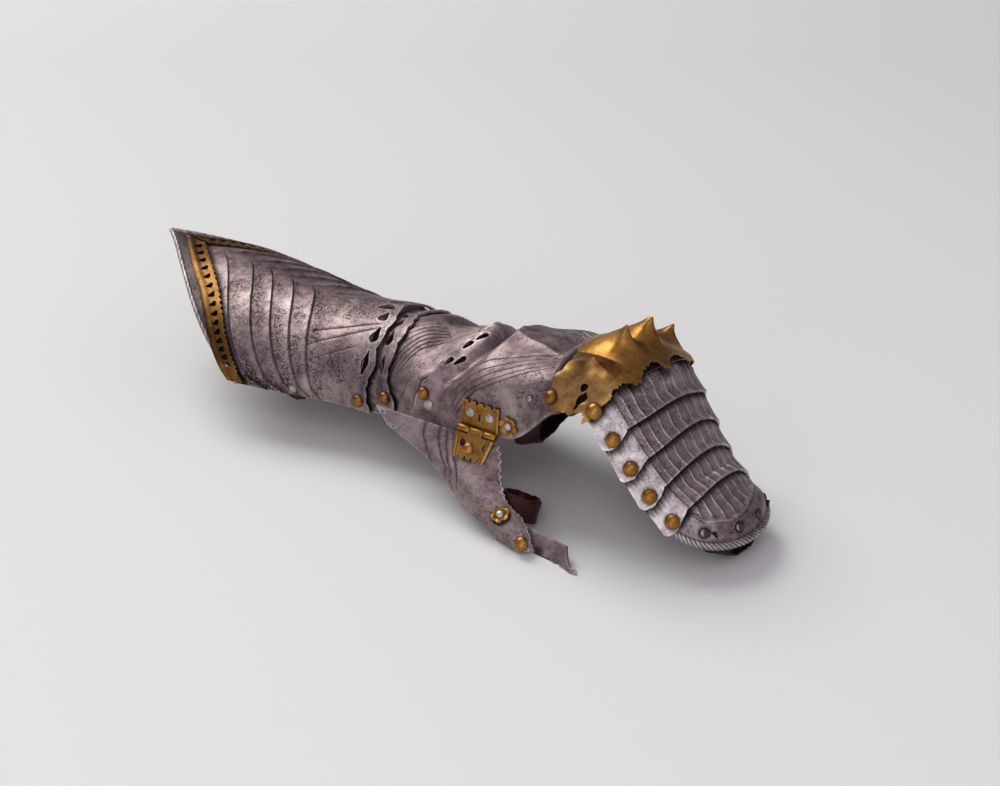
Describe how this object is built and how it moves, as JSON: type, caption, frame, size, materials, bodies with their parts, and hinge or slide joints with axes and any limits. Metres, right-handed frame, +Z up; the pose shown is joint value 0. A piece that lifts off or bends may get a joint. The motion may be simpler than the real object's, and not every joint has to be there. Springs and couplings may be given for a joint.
{
  "type": "mitten gauntlet",
  "caption": "Left-hand plate mitten gauntlet with a long pointed cuff, fluted finger lames, a spiked brass knuckle cover and a hinged thumb plate.",
  "frame": {"origin": "centre of the bounding box in X and Y, on the plane that the gauntlet lies on", "axes": "+X along the length, from the pointed rear of the cuff to the fingertips; +Z up; the thumb is on the -Y side"},
  "size_m": [0.3556, 0.1246, 0.0955],
  "materials": {
    "steel_plate": "aged, finely pitted and darkened hand-polished steel",
    "gilt_brass": "worn gilt brass, darker in its recesses",
    "iron_rivet": "plain flat-headed iron rivets, dull grey",
    "leather": "very dark red-brown, dry and worn leather"
  },
  "bodies": {
    "cuff": {"cuff_plate": "steel_plate", "cuff_border_near": "gilt_brass", "cuff_border_far": "gilt_brass", "cuff_strap_stub_near": "leather", "cuff_strap_stub_far": "leather", "cuff_strap_rivet_near": "iron_rivet", "cuff_strap_rivet_far": "iron_rivet", "cuff_rivet_near": "gilt_brass", "cuff_rivet_far": "gilt_brass"},
    "wrist_lame": {"wrist_lame": "steel_plate", "wrist_lame_rivet_near": "gilt_brass", "wrist_lame_rivet_far": "gilt_brass"},
    "hand": {"rear_metacarpal_plate": "steel_plate", "front_metacarpal_plate": "steel_plate", "metacarpal_rivet_near": "gilt_brass", "metacarpal_rivet_far": "gilt_brass", "metacarpal_lock_rivet_near": "iron_rivet", "metacarpal_lock_rivet_far": "iron_rivet", "palm_strap": "leather", "palm_strap_rivet_near": "iron_rivet", "palm_strap_rivet_far": "iron_rivet", "hinge_upper_leaf": "gilt_brass", "hinge_rivet_1": "iron_rivet", "hinge_rivet_2": "iron_rivet", "hinge_pin": "gilt_brass", "front_rosette": "gilt_brass", "front_rosette_rivet": "iron_rivet"},
    "knuckle": {"knuckle_plate": "steel_plate", "knuckle_cover": "gilt_brass", "knuckle_rear_rivet_near": "gilt_brass", "knuckle_rear_rivet_far": "gilt_brass", "knuckle_front_rivet_near": "gilt_brass", "knuckle_front_rivet_far": "gilt_brass"},
    "lame_1": {"finger_lame_1": "steel_plate", "finger_lame_1_rivet_near": "gilt_brass", "finger_lame_1_rivet_far": "gilt_brass"},
    "lame_2": {"finger_lame_2": "steel_plate", "finger_lame_2_rivet_near": "gilt_brass", "finger_lame_2_rivet_far": "gilt_brass"},
    "lame_3": {"finger_lame_3": "steel_plate", "finger_lame_3_rivet_near": "gilt_brass", "finger_lame_3_rivet_far": "gilt_brass"},
    "lame_4": {"finger_lame_4": "steel_plate", "finger_lame_4_rivet_near": "gilt_brass", "finger_lame_4_rivet_far": "gilt_brass"},
    "fingertip": {"fingertip_plate": "steel_plate", "finger_loop": "leather", "lining_rivet_1": "iron_rivet", "lining_rivet_2": "iron_rivet", "lining_rivet_3": "iron_rivet", "lining_rivet_4": "iron_rivet"},
    "thumb": {"hinge_lower_leaf": "gilt_brass", "hinge_rivet_3": "gilt_brass", "thumb_plate": "steel_plate", "thumb_rosette": "gilt_brass", "thumb_rosette_rivet": "iron_rivet", "thumb_loop": "leather", "thumb_tip_rivet": "gilt_brass"},
    "thumb_tip": {"thumb_tip_lame": "steel_plate"}
  },
  "joints": [
    {"name": "wrist_rear_pivot", "type": "hinge", "parent": "cuff", "child": "wrist_lame", "pos_m": [-0.02665, 0.00963, 0.02491], "axis": [0, 0.9925, -0.1219], "range_deg": [-4, 4]},
    {"name": "wrist_front_pivot", "type": "hinge", "parent": "wrist_lame", "child": "hand", "pos_m": [-0.01223, 0.01029, 0.03029], "axis": [0, 0.9925, -0.1219], "range_deg": [-4, 4]},
    {"name": "knuckle_rear_pivot", "type": "hinge", "parent": "hand", "child": "knuckle", "pos_m": [0.08625, 0.00764, 0.05987], "axis": [0.0522, 0.9803, -0.1906], "range_deg": [-3, 5]},
    {"name": "knuckle_front_pivot", "type": "hinge", "parent": "knuckle", "child": "lame_1", "pos_m": [0.10892, 0.00656, 0.06053], "axis": [0.0522, 0.9803, -0.1906], "range_deg": [-5, 5]},
    {"name": "finger_pivot_1", "type": "hinge", "parent": "lame_1", "child": "lame_2", "pos_m": [0.11896, 0.00397, 0.04996], "axis": [0.0522, 0.9803, -0.1906], "range_deg": [-5, 5]},
    {"name": "finger_pivot_2", "type": "hinge", "parent": "lame_2", "child": "lame_3", "pos_m": [0.12862, 0.00133, 0.03906], "axis": [0.0522, 0.9803, -0.1906], "range_deg": [-5, 5]},
    {"name": "finger_pivot_3", "type": "hinge", "parent": "lame_3", "child": "lame_4", "pos_m": [0.13903, -0.0012, 0.02886], "axis": [0.0522, 0.9803, -0.1906], "range_deg": [-5, 5]},
    {"name": "finger_pivot_4", "type": "hinge", "parent": "lame_4", "child": "fingertip", "pos_m": [0.15095, -0.00349, 0.02039], "axis": [0.0522, 0.9803, -0.1906], "range_deg": [-5, 5]},
    {"name": "thumb_hinge", "type": "hinge", "parent": "hand", "child": "thumb", "pos_m": [0.04595, -0.03395, 0.03842], "axis": [1, 0, 0], "range_deg": [-40, 12]},
    {"name": "thumb_tip_pivot", "type": "hinge", "parent": "thumb", "child": "thumb_tip", "pos_m": [0.0861, -0.05712, 0.00471], "axis": [0, -0.8377, 0.5461], "range_deg": [-3, 3]}
  ],
  "couplings": [
    {"joint": "wrist_front_pivot", "follows": "wrist_rear_pivot", "ratio": 1},
    {"joint": "finger_pivot_1", "follows": "knuckle_front_pivot", "ratio": 1},
    {"joint": "finger_pivot_2", "follows": "knuckle_front_pivot", "ratio": 1},
    {"joint": "finger_pivot_3", "follows": "knuckle_front_pivot", "ratio": 1},
    {"joint": "finger_pivot_4", "follows": "knuckle_front_pivot", "ratio": 1}
  ]
}
